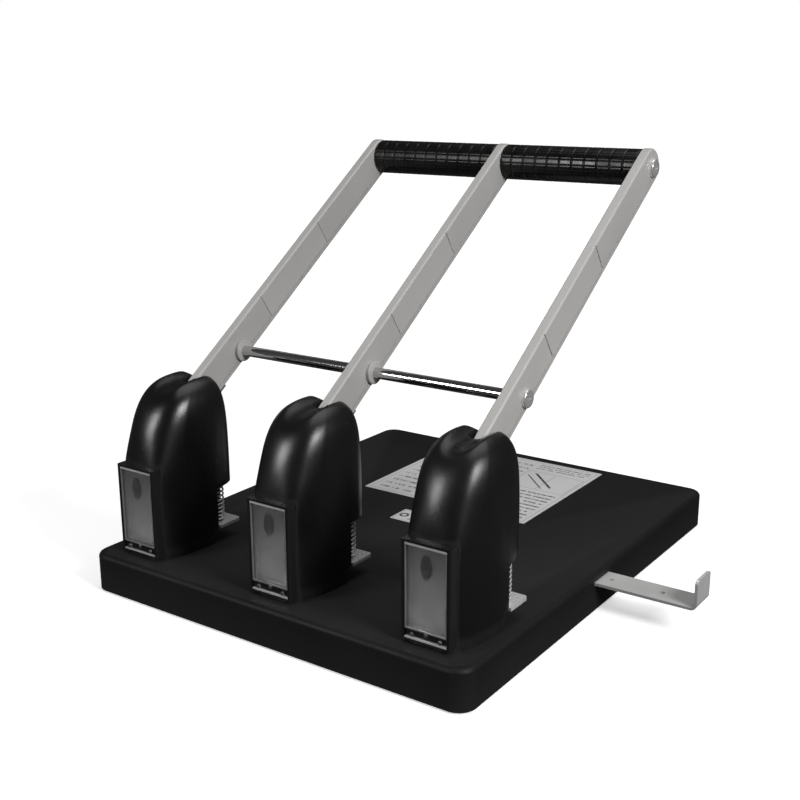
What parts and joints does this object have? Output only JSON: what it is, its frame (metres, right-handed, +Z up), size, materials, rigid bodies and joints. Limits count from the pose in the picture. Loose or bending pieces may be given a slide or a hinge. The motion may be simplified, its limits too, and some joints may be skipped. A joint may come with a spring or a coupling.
{
  "type": "three hole punch",
  "caption": "Heavy-duty punch: wide flat paper platform, domed punch heads in a row and a long loop handle with sleeved grip that drives them together.",
  "frame": {"origin": "centre of the base's footprint, on the surface that the feet rest on", "axes": "+Z up, -Y towards the user's side with the paper platform, +Y towards the punch heads, +X to the user's right"},
  "size_m": [0.3449, 0.331, 0.2717],
  "materials": {
    "black_base_plastic": "fine textured black moulding",
    "black_head_plastic": "satin black moulding with a fine grain",
    "window_frame_plastic": "satin black",
    "dark_grey_plastic": "plain moulded",
    "foot_rubber": "matte",
    "grip_rubber": "ribbed, slightly glossy",
    "galvanised_steel": "galvanised sheet",
    "liner_steel": "galvanised sheet, satin",
    "plate_zinc": "bright zinc plating",
    "guide_steel": "nickel plated strip",
    "hardened_steel": "ground",
    "polished_steel": "ground and polished",
    "spring_steel": "bright wire",
    "carrier_zinc": "die cast",
    "chromed_rod": "bright chrome",
    "chromed_screw": "bright chrome, cross recess",
    "zinc_screw": "zinc plated",
    "arm_grey_paint": "light warm grey satin powder coat",
    "clear_pane": "clear, slightly smoked",
    "printed_paper": "printed sticker, pale grey",
    "printed_label": "printed sticker"
  },
  "bodies": {
    "base": {"base_shell": "black_base_plastic", "bottom_cover": "dark_grey_plastic", "cover_screws": "zinc_screw", "rubber_feet": "foot_rubber", "base_plate": "galvanised_steel", "head_bolts": "zinc_screw", "die_bushes": "hardened_steel", "guide_rail": "dark_grey_plastic", "instruction_sheet": "printed_paper", "small_label": "printed_label", "guide_posts": "polished_steel", "pivot_pins": "polished_steel", "pivot_spacers": "dark_grey_plastic", "window_screws": "zinc_screw", "head_cover_left": "black_head_plastic", "head_frame_left": "galvanised_steel", "throat_plate_left": "plate_zinc", "punch_springs_left": "spring_steel", "window_frame_left": "window_frame_plastic", "window_liner_left": "liner_steel", "window_pane_left": "clear_pane", "head_cover_middle": "black_head_plastic", "head_frame_middle": "galvanised_steel", "throat_plate_middle": "plate_zinc", "punch_springs_middle": "spring_steel", "window_frame_middle": "window_frame_plastic", "window_liner_middle": "liner_steel", "window_pane_middle": "clear_pane", "head_cover_right": "black_head_plastic", "head_frame_right": "galvanised_steel", "throat_plate_right": "plate_zinc", "punch_springs_right": "spring_steel", "window_frame_right": "window_frame_plastic", "window_liner_right": "liner_steel", "window_pane_right": "clear_pane"},
    "handle": {"arm_left": "arm_grey_paint", "arm_middle": "arm_grey_paint", "arm_right": "arm_grey_paint", "cross_rod": "chromed_rod", "cross_rod_screws": "chromed_screw", "grip_rod": "polished_steel", "grip_rod_screws": "chromed_screw", "grip_sleeve_left": "grip_rubber", "grip_sleeve_right": "grip_rubber", "arm_stops": "dark_grey_plastic"},
    "paper_guide_strip": {"paper_guide": "guide_steel"},
    "punch_left": {"punch_carrier_left": "carrier_zinc", "punch_pin_left": "hardened_steel", "cam_roller_left": "polished_steel", "roller_pin_left": "polished_steel"},
    "punch_middle": {"punch_carrier_middle": "carrier_zinc", "punch_pin_middle": "hardened_steel", "cam_roller_middle": "polished_steel", "roller_pin_middle": "polished_steel"},
    "punch_right": {"punch_carrier_right": "carrier_zinc", "punch_pin_right": "hardened_steel", "cam_roller_right": "polished_steel", "roller_pin_right": "polished_steel"}
  },
  "joints": [
    {"name": "handle_swing", "type": "hinge", "parent": "base", "child": "handle", "pos_m": [0, 0.1295, 0.0957], "axis": [1, 0, 0], "range_deg": [0, 33]},
    {"name": "punch_slide_left", "type": "slide", "parent": "base", "child": "punch_left", "axis": [0, 0, 1], "range_m": [-0.0168, 0], "stiffness_N_per_m": 1500, "springref_m": 0.014, "deforming": ["punch_springs_left"]},
    {"name": "punch_slide_middle", "type": "slide", "parent": "base", "child": "punch_middle", "axis": [0, 0, 1], "range_m": [-0.0168, 0], "stiffness_N_per_m": 1500, "springref_m": 0.014, "deforming": ["punch_springs_middle"]},
    {"name": "punch_slide_right", "type": "slide", "parent": "base", "child": "punch_right", "axis": [0, 0, 1], "range_m": [-0.0168, 0], "stiffness_N_per_m": 1500, "springref_m": 0.014, "deforming": ["punch_springs_right"]},
    {"name": "paper_guide_slide", "type": "slide", "parent": "base", "child": "paper_guide_strip", "axis": [1, 0, 0], "range_m": [-0.02, 0.06]}
  ],
  "couplings": [
    {"joint": "punch_slide_left", "follows": "handle_swing", "m_per_rad": -0.0287},
    {"joint": "punch_slide_middle", "follows": "handle_swing", "m_per_rad": -0.0287},
    {"joint": "punch_slide_right", "follows": "handle_swing", "m_per_rad": -0.0287}
  ]
}
